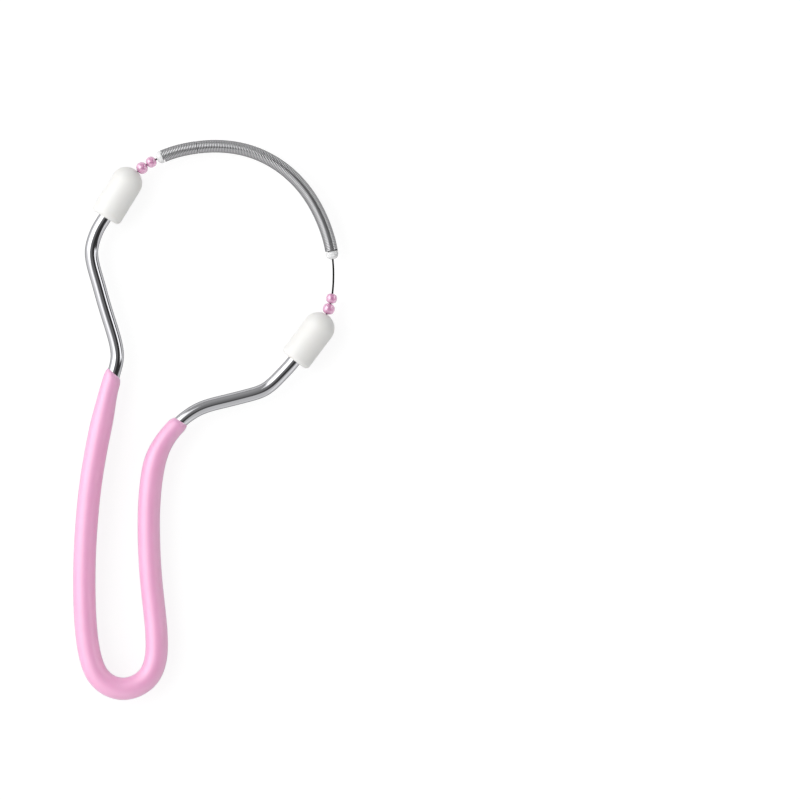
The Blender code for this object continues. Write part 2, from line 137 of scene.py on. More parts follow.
def spread(tree, source, output, low, high, to_low=0.0, to_high=1.0, kind="LINEAR"):
    """Map Range: the source going from low to high comes out as to_low to to_high."""
    settings = {"interpolation_type": kind}
    limits = {"From_Min": low, "From_Max": high, "To_Min": to_low, "To_Max": to_high}
    node = add_node(tree, "ShaderNodeMapRange", settings, **limits)
    join(tree, source, output, node, "Value")
    return node


# %% [markdown]
# ## Studio
#
# Polished steel has no colour of its own: it shows the room. Read across, the photographed rods
# show a big white wall of light on the left, a dark gap straight above where the camera is, a
# thin bright strip on the right with a dark edge behind it, and a pale table below. Lamps and
# black cards of those shapes could make it. Here the room is painted on the world instead, each
# patch by the direction that it lies in, because then a patch is one line of numbers, and its
# edge can be as sharp or as soft as it looks in the steel.

# %% The room's patches
# Plain room: grey by how far a direction leans towards +Y, from 0 at -Y to 1 at +Y
PLAIN_ROOM = [(0.0, 0.15), (0.39, 0.15), (0.50, 0.26), (0.69, 0.35), (0.92, 0.53), (1.0, 0.46)]

# Each patch is a tone and its edges. An edge is an azimuth in degrees, and how far a direction
# has to reach towards it for the patch to start and to be full.
PATCHES = {
    "gap above": (0.05, [(350, 0.05, 0.35)]),
    "low sky": (0.88, [(270, 0.40, 0.60)]),
    "corner": (1.40, [(323, 0.90, 0.97)]),
    "dark edge": (0.02, [(16, 0.93, 0.96)]),
    "strip": (2.10, [(16, 0.70, 0.80), (16, 0.96, 0.93), (106, -0.42, -0.28)]),
    "lower left": (1.10, [(215, 0.30, 0.60)]),
    "wall": (2.05, [(142, 0.33, 0.44), (38, 0.08, -0.08)]),
    "wall foot": (1.30, [(196, 0.88, 0.97)]),
}
print(f"the room has {len(PATCHES)} patches of light and dark")


# %% Painting the room
def facing(tree, direction, azimuth, low, high):
    """0 to 1, smoothly, as the direction's dot product with a level unit vector goes from low
    to high."""
    angle = math.radians(azimuth)
    along = tree.nodes.new("ShaderNodeVectorMath")
    along.operation = "DOT_PRODUCT"
    along.inputs[1].default_value = (math.cos(angle), math.sin(angle), 0.0)
    tree.links.new(direction, along.inputs[0])
    return spread(tree, along, "Value", low, high, kind="SMOOTHSTEP").outputs["Result"]


def times(tree, first, second):
    """The first output times the second."""
    product = add_node(tree, "ShaderNodeMath", {"operation": "MULTIPLY"})
    tree.links.new(first, product.inputs[0])
    tree.links.new(second, product.inputs[1])
    return product.outputs["Value"]


def paint(tree, under, tone, mask):
    """The tone where the mask is 1, and what is under it where the mask is 0."""
    over = tree.nodes.new("ShaderNodeMix")
    over.inputs["B"].default_value = tone
    tree.links.new(under, over.inputs["A"])
    tree.links.new(mask, over.inputs["Factor"])
    return over.outputs["Result"]


def room_light(tree, direction):
    """Grey of the room in each direction: the patches, laid one over another on the plain room."""
    level = tree.nodes.new("ShaderNodeSeparateXYZ")
    tree.links.new(direction, level.inputs["Vector"])
    plain = ramp(tree, PLAIN_ROOM)
    join(tree, spread(tree, level, "Y", -1.0, 1.0), "Result", plain, "Fac")
    light = plain.outputs["Color"]
    for tone, edges in PATCHES.values():
        masks = [facing(tree, direction, *edge) for edge in edges]
        mask = functools.reduce(lambda first, second: times(tree, first, second), masks)
        light = paint(tree, light, tone, mask)
    return light


# %% [markdown]
# ### World
#
# Light comes from the painted room. The eye, and a ray that has gone through clear plastic, see
# plain white instead, so that the background stays white past the edge of the floor, and the
# beads don't show the room's patches through their bodies. A Light Path node tells the kinds of
# ray apart.

# %% The world
SEEN_TONE = 1.0


def seen_by(tree, *kinds):
    """1 for a ray of any of these kinds, and 0 for the rest."""
    rays = tree.nodes.new("ShaderNodeLightPath")
    seen = rays.outputs[kinds[0]]
    for kind in kinds[1:]:
        either = add_node(tree, "ShaderNodeMath", {"operation": "MAXIMUM"})
        tree.links.new(seen, either.inputs[0])
        join(tree, rays, kind, either, 1)
        seen = either.outputs["Value"]
    return seen


def paint_world():
    """The room for most rays, and one plain tone for the eye and for clear plastic."""
    world = bpy.data.worlds.new("studio")
    bpy.context.scene.world = world
    world.use_nodes = True
    tree = world.node_tree
    tree.nodes.clear()
    place = tree.nodes.new("ShaderNodeTexCoord")
    room = tree.nodes.new("ShaderNodeBackground")
    tree.links.new(room_light(tree, place.outputs["Generated"]), room.inputs["Color"])
    pale = add_node(tree, "ShaderNodeBackground", Color=(SEEN_TONE, SEEN_TONE, SEEN_TONE, 1.0))
    chosen = tree.nodes.new("ShaderNodeMixShader")
    tree.links.new(seen_by(tree, "Is Camera Ray", "Is Transmission Ray"), chosen.inputs[0])
    join(tree, room, "Background", chosen, 1)
    join(tree, pale, "Background", chosen, 2)
    output = tree.nodes.new("ShaderNodeOutputWorld")
    join(tree, chosen, "Shader", output, "Surface")


paint_world()
print(f"the world lights with the room and shows a tone of {SEEN_TONE}")

# %% [markdown]
# ### Floor and lamp
#
# The table is a real sheet under the tool, because only a surface takes a shadow. Its own grey
# is dull, so that it throws little light back up. A glow that only the eye, gloss and clear
# plastic see lifts it to white. One square soft lamp from the upper left gives the plastic its
# light side and its soft shadow.

# %% Floor and lamp
FLOOR_HALF = 1.5
FLOOR_TONE = 0.22
FLOOR_GLOW = 0.85
KEY_PLACE = (-0.50, 0.28, 0.50)
KEY_WIDTH = 0.60
KEY_POWER = 1.2


def floor_finish():
    """Dull grey, plus a glow of FLOOR_GLOW for a ray of the eye, of gloss or of clear plastic."""
    material = bpy.data.materials.new("pale_floor")
    material.use_nodes = True
    tree = material.node_tree
    tree.nodes.clear()
    dull = add_node(tree, "ShaderNodeBsdfDiffuse", Color=(FLOOR_TONE, FLOOR_TONE, FLOOR_TONE, 1.0))
    glow = tree.nodes.new("ShaderNodeEmission")
    share = add_node(tree, "ShaderNodeMath", {"operation": "MULTIPLY"})
    share.inputs[1].default_value = FLOOR_GLOW
    seen = seen_by(tree, "Is Camera Ray", "Is Glossy Ray", "Is Transmission Ray")
    tree.links.new(seen, share.inputs[0])
    join(tree, share, "Value", glow, "Strength")
    both = tree.nodes.new("ShaderNodeAddShader")
    join(tree, dull, "BSDF", both, 0)
    join(tree, glow, "Emission", both, 1)
    output = tree.nodes.new("ShaderNodeOutputMaterial")
    join(tree, both, "Shader", output, "Surface")
    return material


def make_floor():
    """A flat square at the height that the tool lies on, 1.5 m to each side of its middle."""
    corners = FLOOR_HALF * np.array([(-1, -1, 0), (1, -1, 0), (1, 1, 0), (-1, 1, 0)], float)
    mesh = bpy.data.meshes.new("floor")
    mesh.from_pydata(corners.tolist(), [], [(0, 1, 2, 3)])
    mesh.materials.append(floor_finish())
    floor = bpy.data.objects.new("floor", mesh)
    bpy.context.scene.collection.objects.link(floor)
    floor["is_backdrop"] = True


def add_key_lamp():
    """A square soft lamp, turned so that its -Z looks back along its own place to the origin."""
    lamp = bpy.data.lights.new("key", "AREA")
    lamp.size = KEY_WIDTH
    lamp.energy = KEY_POWER
    holder = bpy.data.objects.new("key", lamp)
    holder.location = KEY_PLACE
    holder.rotation_euler = (-holder.location).to_track_quat("-Z", "Y").to_euler()
    bpy.context.scene.collection.objects.link(holder)


make_floor()
add_key_lamp()
print("floor, and one soft lamp from the upper left")

# %% [markdown]
# ## Lines to build along
#
# The rod and the wire are both bent round bars, so each is a flat line and a thickness. The
# rod's line is a smooth cubic through points picked along its middle, given as shares of the
# tool's width and length, and its two ends leave along the caps' directions. The wire's line is
# an arc of a circle between the caps that swells in and out a little. Both are worked out
# densely once, and read at any distance.

# %% Smooth cubic
def smooth_cubic(knots, values, where, slopes=None):
    """Between two knots the curve is a cubic. Its bend at the knots solves one linear system,
    in which slopes match on both sides of each knot. The ends take the given slopes, or else
    have no bend."""
    gaps = np.diff(knots)
    rises = np.diff(values) / gaps
    count = len(knots)
    system = np.eye(count)
    inner = np.arange(1, count - 1)
    system[inner, inner - 1] = gaps[:-1]
    system[inner, inner] = 2 * (gaps[:-1] + gaps[1:])
    system[inner, inner + 1] = gaps[1:]
    known = np.zeros(count)
    known[1:-1] = 6 * np.diff(rises)
    if slopes is not None:
        system[0, :2] = 2 * gaps[0], gaps[0]
        system[-1, -2:] = gaps[-1], 2 * gaps[-1]
        known[[0, -1]] = 6 * (rises[0] - slopes[0]), 6 * (slopes[1] - rises[-1])
    bend = np.linalg.solve(system, known)
    i = np.clip(np.searchsorted(knots, where, side="right") - 1, 0, count - 2)
    gap, after = gaps[i], where - knots[i]
    before = gap - after
    cubic = (bend[i] * before**3 + bend[i + 1] * after**3) / (6 * gap)
    start = (values[i] / gap - bend[i] * gap / 6) * before
    end = (values[i + 1] / gap - bend[i + 1] * gap / 6) * after
    return cubic + start + end


# %% Flat line
LIE_HEIGHT = 3.15 * MM
LINE_STEP = 0.02 * MM
HEADING_REACH = 0.05 * MM


class Line:
    """A flat line at the height of the tool's middle. Its distance is the running sum of the
    steps between its points, and place, ahead and side read it at any array of distances."""

    def __init__(self, flat):
        self.flat = flat
        self.distance = np.append(0.0, np.cumsum(np.hypot(*np.diff(flat, axis=0).T)))
        self.length = self.distance[-1]

    def place(self, distance):
        """The point at a distance, straight between the line's own points on either side."""
        x = np.interp(distance, self.distance, self.flat[:, 0])
        y = np.interp(distance, self.distance, self.flat[:, 1])
        return np.stack([x, y, np.full_like(x, LIE_HEIGHT)], axis=-1)

    def ahead(self, distance):
        """The unit way from a little behind a distance to a little ahead of it."""
        further = self.place(np.minimum(distance + HEADING_REACH, self.length))
        run = further - self.place(np.maximum(distance - HEADING_REACH, 0.0))
        return run / np.linalg.norm(run, axis=-1, keepdims=True)

    def side(self, distance):
        """ahead, turned a quarter to the left in the plane."""
        ahead = self.ahead(distance)
        return np.stack([-ahead[..., 1], ahead[..., 0], np.zeros_like(ahead[..., 0])], axis=-1)


# %% [markdown]
# ### The rod's line
#
# The numbers below are the same points that the solid model was bent along: from the left cap's
# mouth, down the left arm, round the U and out along the right arm to the other cap. Because
# they are shares of 52 mm and 110 mm, the line can be checked against the picture with a ruler.

# %% The rod's line
TOOL_WIDTH = 52.0 * MM
ROD_IN_CAP = 6.0 * MM
LEFT_CAP_LEAN = math.radians(31.4)
RIGHT_CAP_LEAN = math.radians(36.9)
ROD_SHARES = np.array([
    (-0.379, 0.361), (-0.399, 0.346), (-0.419, 0.325), (-0.430, 0.301), (-0.424, 0.277),
    (-0.407, 0.248), (-0.384, 0.209), (-0.356, 0.166), (-0.338, 0.135), (-0.333, 0.112),
    (-0.341, 0.091), (-0.358, 0.064), (-0.381, 0.018), (-0.408, -0.043), (-0.432, -0.110),
    (-0.448, -0.182), (-0.456, -0.253), (-0.456, -0.324), (-0.447, -0.388), (-0.431, -0.428),
    (-0.403, -0.457), (-0.358, -0.474), (-0.307, -0.479), (-0.258, -0.473), (-0.215, -0.457),
    (-0.189, -0.428), (-0.184, -0.392), (-0.193, -0.339), (-0.206, -0.280), (-0.213, -0.219),
    (-0.213, -0.160), (-0.204, -0.107), (-0.185, -0.066), (-0.155, -0.037), (-0.119, -0.015),
    (-0.079, 0.003), (-0.022, 0.020), (0.069, 0.033), (0.161, 0.044), (0.221, 0.054),
    (0.260, 0.068), (0.283, 0.079), (0.309, 0.092), (0.334, 0.106),
])


def cap_way(lean):
    """The flat direction from a cap's mouth to its nose: straight up, turned right by its lean."""
    return np.array([math.sin(lean), math.cos(lean)])


def rod_line():
    """The cubic through the picked points, with a straight piece added at each end inside its
    cap."""
    picked = ROD_SHARES * (TOOL_WIDTH, TOOL_LENGTH)
    knots = np.append(0.0, np.cumsum(np.hypot(*np.diff(picked, axis=0).T)))
    where = np.append(np.arange(0.0, knots[-1], LINE_STEP), knots[-1])
    ways = np.array([-cap_way(LEFT_CAP_LEAN), cap_way(RIGHT_CAP_LEAN)])
    flat = [smooth_cubic(knots, picked[:, k], where, ways[:, k]) for k in (0, 1)]
    flat = np.column_stack(flat)
    first = flat[0] - ways[0] * ROD_IN_CAP
    last = flat[-1] + ways[1] * ROD_IN_CAP
    return Line(np.vstack([first, flat, last]))


rod = rod_line()
print(f"the rod is {rod.length / MM:.1f} mm long")

# %% [markdown]
# ### The wire's line
#
# The wire springs from a seat inside each cap. A circle through both seats with the bow's
# height follows the photographed spring to within half a millimetre, and a small swell, given
# as shares of the radius, takes up the rest. Cutting the arc by angle gives even steps.

# %% The wire's line
BOW_RISE = 19.9 * MM
CAP_BORE_DEPTH = 8.7 * MM
SWELL_SHARES = np.array([
    (0.00, 0.000), (0.12, 0.004), (0.22, 0.001), (0.38, 0.011), (0.48, 0.008), (0.58, -0.003),
    (0.69, -0.014), (0.78, -0.011), (0.87, -0.002), (0.94, 0.009), (1.00, 0.000),
])


def bow_line(left_seat, right_seat):
    """Arc points: centre plus radius times one plus swell, at angles stepping evenly from seat
    to seat. The radius is (rise squared + half the chord squared) / (2 times the rise)."""
    chord = right_seat - left_seat
    half = np.hypot(*chord) / 2
    radius = (BOW_RISE**2 + half**2) / (2 * BOW_RISE)
    outward = np.array([-chord[1], chord[0]]) / np.hypot(*chord)
    centre = (left_seat + right_seat) / 2 + outward * (BOW_RISE - radius)
    start = math.atan2(*(left_seat - centre)[::-1])
    swept = 2 * math.atan2(half, radius - BOW_RISE)
    share = np.linspace(0.0, 1.0, round(radius * swept / LINE_STEP))
    reach = radius * (1 + smooth_cubic(*SWELL_SHARES.T, share))
    angle = start - swept * share
    flat = centre + reach[:, None] * np.column_stack([np.cos(angle), np.sin(angle)])
    return Line(flat), radius


left_mouth = rod.place(ROD_IN_CAP)[:2]
right_mouth = rod.place(rod.length - ROD_IN_CAP)[:2]
left_seat = left_mouth + cap_way(LEFT_CAP_LEAN) * CAP_BORE_DEPTH
right_seat = right_mouth + cap_way(RIGHT_CAP_LEAN) * CAP_BORE_DEPTH
bow, bow_radius = bow_line(left_seat, right_seat)
print(f"the wire's bow is {bow.length / MM:.1f} mm long, {bow_radius / MM:.2f} mm in radius")

# %% [markdown]
# ## Surfaces from grids
#
# Every new piece is one grid of points: rows run along the piece and columns run round it. A
# grid may close on itself in either direction, and an open end is closed by one middle point.
# All the faces come from index arithmetic. The grid also gives a UV map in millimetres along
# and round the piece, so that a finish can follow it. A closed mesh whose volume comes out
# negative has its faces turned round.

# %% Faces of a grid
def grid_quads(rows, columns, ring):
    """Four corner indices a face: a point, its neighbour round, both one row on. A ring's last
    row joins its first."""
    steps = np.arange(rows if ring else rows - 1)
    i, j = np.meshgrid(steps, np.arange(columns), indexing="ij")
    down, after = (i + 1) % rows, (j + 1) % columns
    corners = [i * columns + j, i * columns + after, down * columns + after, down * columns + j]
    return np.stack(corners, axis=-1).reshape(-1, 4)


def end_fans(rows, columns):
    """Three corner indices a face, round the middle point of each open end. The two middle
    points come right after the grid's own."""
    j = np.arange(columns)
    after = (j + 1) % columns
    last = (rows - 1) * columns
    start = np.column_stack([np.full(columns, rows * columns), after, j])
    end = np.column_stack([np.full(columns, rows * columns + 1), last + j, last + after])
    return np.vstack([start, end])


def signed_volume(points, quads, fans):
    """A sixth of the sum of a . (b x c) over triangles: positive where faces look outwards."""
    triangles = np.vstack([quads[:, :3], quads[:, [0, 2, 3]], fans])
    a, b, c = np.moveaxis(points[triangles], 1, 0)
    return np.einsum("ij,ij->", a, np.cross(b, c)) / 6


# %% Grid to mesh
def write_uv(mesh, grid, count):
    """UV in millimetres: the mean run from row to row, and the mean run from column to column."""
    rows, columns = grid.shape[:2]
    runs = np.linalg.norm(np.diff(grid, axis=0), axis=2).mean(axis=1)
    step = np.linalg.norm(grid - np.roll(grid, 1, axis=1), axis=2).mean()
    uv = np.zeros((count, 2))
    uv[: rows * columns, 0] = np.repeat(np.append(0.0, np.cumsum(runs)), columns)
    uv[: rows * columns, 1] = np.tile(np.arange(columns) * step, rows)
    corner = np.empty(len(mesh.loops), np.int32)
    mesh.loops.foreach_get("vertex_index", corner)
    layer = mesh.uv_layers.new(name="UVMap")
    layer.data.foreach_set("uv", (uv[corner] / MM).ravel().astype(np.float32))


def mesh_piece(name, grid, ring=False):
    """A mesh object from a rows x columns x 3 grid, closed round its columns. Open ends get a
    middle point."""
    rows, columns = grid.shape[:2]
    points = grid.reshape(-1, 3)
    quads = grid_quads(rows, columns, ring)
    fans = np.empty((0, 3), int)
    if not ring:
        points = np.vstack([points, grid[0].mean(axis=0), grid[-1].mean(axis=0)])
        fans = end_fans(rows, columns)
    if signed_volume(points - points.mean(axis=0), quads, fans) < 0:
        quads, fans = quads[:, ::-1], fans[:, [0, 2, 1]]
    mesh = bpy.data.meshes.new(name)
    mesh.from_pydata(points.tolist(), [], quads.tolist() + fans.tolist())
    mesh.shade_smooth()
    piece = bpy.data.objects.new(name, mesh)
    bpy.context.scene.collection.objects.link(piece)
    write_uv(mesh, grid, len(points))
    return piece


# %% Sweeps and turned forms
UP = np.array([0.0, 0.0, 1.0])


def round_out(side, columns):
    """Unit ways round a section: cos of the angle times side, plus sin of it times up."""
    angle = np.linspace(0.0, math.tau, columns, endpoint=False)
    return np.cos(angle)[:, None] * side + np.sin(angle)[:, None] * UP


def sweep(line, distance, reach, columns):
    """A round section carried along a line: place + reach times the ways round. Distances come
    one a row, or one a point."""
    rows = len(distance)
    distance = np.broadcast_to(np.reshape(distance, (rows, -1)), (rows, columns))
    out = round_out(line.side(distance), columns)
    return line.place(distance) + np.reshape(reach, (rows, 1, 1)) * out


def turned(profile, place, way, columns):
    """A profile of (reach, height) points turned about a level axis: place + height times the
    axis + reach times the ways round it."""
    axis = np.asarray(way, float)
    out = round_out(np.array([-axis[1], axis[0], 0.0]), columns)
    reach, height = np.asarray(profile).T[..., None, None]
    return np.asarray(place) + height * axis + reach * out


def arc(centre, radius, start, end, count):
    """Points on a circle in the profile's plane, between two angles in degrees above the reach
    axis."""
    angle = np.radians(np.linspace(start, end, count))
    return np.asarray(centre) + radius * np.column_stack([np.cos(angle), np.sin(angle)])


# %% [markdown]
# ## Finishes
#
# Each finish is a Principled surface with its plain values set on its own sockets, and a graph
# of noise for what isn't plain: how the gloss and the colour wander, and the fine relief. Noise
# reads the piece's UV map where the pattern follows the piece, as drawing lines on a rod do,
# and Object coordinates elsewhere. The helpers below each drive one socket from one noise.

# %% Finish helpers
NOISE_MIDDLE = (0.25, 0.75)
TINT_MIDDLE = (0.3, 0.7)
RELIEF_STRENGTH = 0.5


def finish(name, colour, metallic=0.0, **sockets):
    """A material with one Principled surface. Sockets are given by name, with _ for a space."""
    material = bpy.data.materials.new(name)
    material.use_nodes = True
    shader = material.node_tree.nodes["Principled BSDF"]
    shader.inputs["Base Color"].default_value = (*colour, 1.0)
    shader.inputs["Metallic"].default_value = metallic
    for socket, value in sockets.items():
        shader.inputs[socket.replace("_", " ")].default_value = value
    return material


def drive(material, node, output, socket):
    """Links a node's output to one socket of the surface."""
    tree = material.node_tree
    join(tree, node, output, tree.nodes["Principled BSDF"], socket)


def speckle(material, coordinates, scale, detail=3.0):
    """A noise texture on Object or UV coordinates, stretched by a scale for each axis."""
    tree = material.node_tree
    place = tree.nodes.new("ShaderNodeTexCoord")
    stretch = add_node(tree, "ShaderNodeMapping", Scale=scale)
    noise = add_node(tree, "ShaderNodeTexNoise", Scale=1.0, Detail=detail)
    join(tree, place, coordinates, stretch, "Vector")
    join(tree, stretch, "Vector", noise, "Vector")
    return noise


def vary(material, noise, socket, low, high):
    """The noise's middle half, spread from low to high, drives one socket of the surface."""
    values = spread(material.node_tree, noise, "Fac", *NOISE_MIDDLE, low, high)
    drive(material, values, "Result", socket)


def tint(material, noise, first, second):
    """The base colour wanders between two close colours."""
    shades = ramp(material.node_tree, list(zip(TINT_MIDDLE, (first, second))))
    join(material.node_tree, noise, "Fac", shades, "Fac")
    drive(material, shades, "Color", "Base Color")


def relief(material, noise, depth):
    """Fine bumps as deep as depth."""
    tree = material.node_tree
    bump = add_node(tree, "ShaderNodeBump", Strength=RELIEF_STRENGTH, Distance=depth)
    join(tree, noise, "Fac", bump, "Height")
    drive(material, bump, "Normal", "Normal")


# %% [markdown]
# ### Three metals
#
# The rod is polished steel. It was drawn through a die, which leaves fine lines along it, so
# the gloss varies a little from line to line. The spring's wire is polished steel along the
# crest of each curl. Down its two flanks, where the curls meet, shade is painted nearly black
# into its colour. Stripes laid across the whole spring wouldn't stay on its curls, so the painted
# shade follows the angle round the wire, which is the second number of the piece's UV map. On a
# metal, Specular Tint is the shade at a grazing angle, and it is set dark on both. The core wire
# is nearly black and hardly shines.

# %% Steel, spring steel and dark wire
# The spring's wire is a little squared, so the way round it is about 3.4 widths, not 3.14
SPRING_WIRE = 0.30 * MM
SPRING_WIRE_ROUND = 3.4 * SPRING_WIRE
ROD_GREY = (0.52, 0.52, 0.54)
CREST_GREY = (0.46, 0.46, 0.47)
# Painted shade: the near-black colour of each curl's flanks, where it meets its neighbours
FLANK_PAINTED_SHADE = (0.04, 0.04, 0.04)
CREST_AND_PAINTED_SHADE_STOPS = [
    (0.0, FLANK_PAINTED_SHADE), (0.27, FLANK_PAINTED_SHADE), (0.40, CREST_GREY),
    (0.60, CREST_GREY), (0.73, FLANK_PAINTED_SHADE), (1.0, FLANK_PAINTED_SHADE),
]
WIRE_BLACK = (0.005, 0.005, 0.005)


def polished_steel():
    """Long drawing lines on the rod: noise stretched far along the rod and fine round it."""
    steel = finish("polished_steel", ROD_GREY, metallic=1.0, Specular_Tint=(0.15, 0.15, 0.15, 1.0))
    lines = speckle(steel, "UV", (0.05, 9.0, 1.0), detail=4.0)
    vary(steel, lines, "Roughness", 0.05, 0.12)
    return steel


def spring_steel():
    """Painted shade by the share of the way round the wire: nearly black on the flanks, where the curls
    meet, and the steel's grey at the crest of a curl, where the share is 0.5.
    """
    steel = finish(
        "satin_spring_steel", CREST_GREY, metallic=1.0, Specular_Tint=(0.02, 0.02, 0.02, 1.0),
    )
    tree = steel.node_tree
    place = tree.nodes.new("ShaderNodeTexCoord")
    round_wire = tree.nodes.new("ShaderNodeSeparateXYZ")
    join(tree, place, "UV", round_wire, "Vector")
    share = spread(tree, round_wire, "Y", 0.0, SPRING_WIRE_ROUND / MM)
    # Painted shade on the flanks, with the steel's own grey along the crest
    shades = ramp(tree, CREST_AND_PAINTED_SHADE_STOPS)
    join(tree, share, "Result", shades, "Fac")
    drive(steel, shades, "Color", "Base Color")
    grain = speckle(steel, "UV", (1.2, 14.0, 1.0))
    vary(steel, grain, "Roughness", 0.05, 0.10)
    return steel


def dark_wire():
    """Drawn wire, nearly black, with a dull grain along it."""
    wire = finish("dark_wire", WIRE_BLACK, Specular_IOR_Level=0.02)
    grain = speckle(wire, "UV", (1.0, 20.0, 1.0))
    vary(wire, grain, "Roughness", 0.45, 0.6)
    return wire


STEEL = polished_steel()
SPRING_STEEL = spring_steel()
WIRE = dark_wire()
print("finishes:", STEEL.name, SPRING_STEEL.name, WIRE.name)

# %% [markdown]
# ### Pink sleeve
#
# The sleeve is a soft tube with a satin skin. It has no hard highlight, only one broad pale
# band along the side that faces the wall of light, and a paler edge. A rough surface alone
# would look like chalk. So a coat with a wide shine lies over it, a sheen lightens its edges,
# and some of the light goes in and comes out again, which softens the shaded side.

# %% The sleeve's finish
def pink_sleeve():
    """Slow mottling in the colour, and a fine skin in the roughness and the relief."""
    sleeve = finish(
        "pink_sleeve", (0.95, 0.39, 0.67),
        Coat_Weight=1.0, Coat_IOR=2.4, Coat_Roughness=0.50,
        Sheen_Weight=0.8, Sheen_Roughness=0.3, Sheen_Tint=(0.94, 0.88, 1.0, 1.0),
        Subsurface_Weight=0.35, Subsurface_Radius=(1.0, 0.7, 0.85), Subsurface_Scale=1.0 * MM,
    )
    mottle = speckle(sleeve, "Object", (260.0, 260.0, 260.0))
    tint(sleeve, mottle, (0.94, 0.38, 0.66), (0.96, 0.40, 0.68))
    skin = speckle(sleeve, "Object", (5200.0, 5200.0, 5200.0), detail=4.0)
    vary(sleeve, skin, "Roughness", 0.50, 0.62)
    relief(sleeve, skin, 0.012 * MM)
    return sleeve


SLEEVE = pink_sleeve()
print("finish:", SLEEVE.name)

# %% [markdown]
# ### White caps and milky plugs
#
# Both are moulded plastic that light enters a little way, which a plain white surface would
# miss. The caps are a warm white with a satin, barely uneven skin. The plugs are milky and
# glossier, and a little of the light goes right through them.

# %% The caps' and plugs' finishes
def cap_plastic():
    """White moulded plastic: satin, slightly see-through at its edges, with an uneven skin."""
    plastic = finish(
        "white_cap_plastic", (0.90, 0.895, 0.87),
        Subsurface_Weight=0.15, Subsurface_Radius=(1.0, 0.95, 0.85), Subsurface_Scale=0.8 * MM,
    )
    slow = speckle(plastic, "Object", (420.0, 420.0, 420.0))
    tint(plastic, slow, (0.895, 0.89, 0.865), (0.905, 0.90, 0.88))
    skin = speckle(plastic, "Object", (3200.0, 3200.0, 3200.0), detail=4.0)
    vary(plastic, skin, "Roughness", 0.34, 0.46)
    relief(plastic, skin, 0.008 * MM)
    return plastic


def plug_plastic():
    """Milky end plug: light goes some way in before it turns back."""
    plastic = finish(
        "milky_plug_plastic", (0.96, 0.965, 0.97), Transmission_Weight=0.12, IOR=1.46,
        Subsurface_Weight=0.3, Subsurface_Radius=(1.0, 1.0, 1.0), Subsurface_Scale=0.7 * MM,
    )
    cloud = speckle(plastic, "Object", (1600.0, 1600.0, 1600.0))
    vary(plastic, cloud, "Roughness", 0.16, 0.26)
    return plastic


CAP = cap_plastic()
PLUG = plug_plastic()
print("finishes:", CAP.name, PLUG.name)

# %% [markdown]
# ### Pink beads and brass crimps
#
# A bead is half-clear tinted plastic, and its polished skin mirrors the room. A fully clear one
# would show the white table through it and lose its pink, so under half of the light is let
# through, and a coat gives the shine. The crimps are plain squeezed brass.

# %% The beads' and crimps' finishes
def bead_plastic():
    """Half-clear pink with a slow swirl in its tint, under a glossy coat."""
    plastic = finish(
        "clear_pink_bead", (0.92, 0.43, 0.71), Transmission_Weight=0.45, IOR=1.6,
        Coat_Weight=1.0, Coat_IOR=2.3, Coat_Roughness=0.18,
    )
    swirl = speckle(plastic, "Object", (900.0, 900.0, 900.0))
    tint(plastic, swirl, (0.94, 0.47, 0.74), (0.90, 0.39, 0.68))
    vary(plastic, swirl, "Roughness", 0.03, 0.07)
    return plastic


def crimp_brass():
    """Squeezed brass: rough grain in the gloss and in the relief."""
    brass = finish("crimp_brass", (0.62, 0.50, 0.28), metallic=1.0)
    grain = speckle(brass, "Object", (2400.0, 2400.0, 2400.0))
    vary(brass, grain, "Roughness", 0.28, 0.42)
    relief(brass, grain, 0.01 * MM)
    return brass


BEAD = bead_plastic()
BRASS = crimp_brass()
print("finishes:", BEAD.name, BRASS.name)

# %% [markdown]
# ## Dressing a piece
#
# A new piece has to move with the imported model and stand for its solids. So each one is given
# its finish and the body that it rides on, and the solids that it replaces are hidden.

# %% Dressing a piece
def dress(piece, material, body, slot, *nodes):
    """Gives a new piece its finish and its body, and hides the solids that it stands for. The slot is not
    used.
    """
    piece.data.materials.append(material)
    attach(piece, body)
    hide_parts(*nodes)
    triangles = sum(len(face.vertices) - 2 for face in piece.data.polygons)
    print(f"{piece.name}: {triangles} triangles on {body}")


# %% [markdown]
# ## Handle rod
#
# One steel rod of 2.6 mm, bent cold into a long U with two cranked arms. It could be a bevelled
# curve, but a swept grid keeps the section truly round through the tight bends and carries a UV
# map for the drawing lines. A step of 0.4 mm is fine enough that the reflections run smoothly
# round every bend.

# %% Make the rod
ROD_RADIUS = 1.3 * MM
ROD_EDGE = 0.2 * MM
ROD_STEP = 0.4 * MM
ROD_COLUMNS = 48


def make_rod():
    """A constant reach along the whole line, drawn in over a short bevel at both ends."""
    inner = np.linspace(ROD_EDGE, rod.length - ROD_EDGE, round(rod.length / ROD_STEP))
    distance = np.concatenate([[0.0], inner, [rod.length]])
    reach = np.full(len(distance), ROD_RADIUS)
    reach[[0, -1]] = ROD_RADIUS - ROD_EDGE
    return mesh_piece("bent_rod", sweep(rod, distance, reach, ROD_COLUMNS))


dress(make_rod(), STEEL, "handle", "rod_steel", "handle_rod")

# %% [markdown]
# ## Grip sleeve
#
# A soft tube pushed over the rod's U. It is 4.4 mm thick along the grip, thins slowly towards
# both ends and finishes in a round lip that hugs the rod. Its ends are cut at a slant. The
# surface is a closed ring of rows: out along the skin and back along the bore. The slant is a
# shift in distance that depends on the angle round the rod, and dies away a few millimetres in.

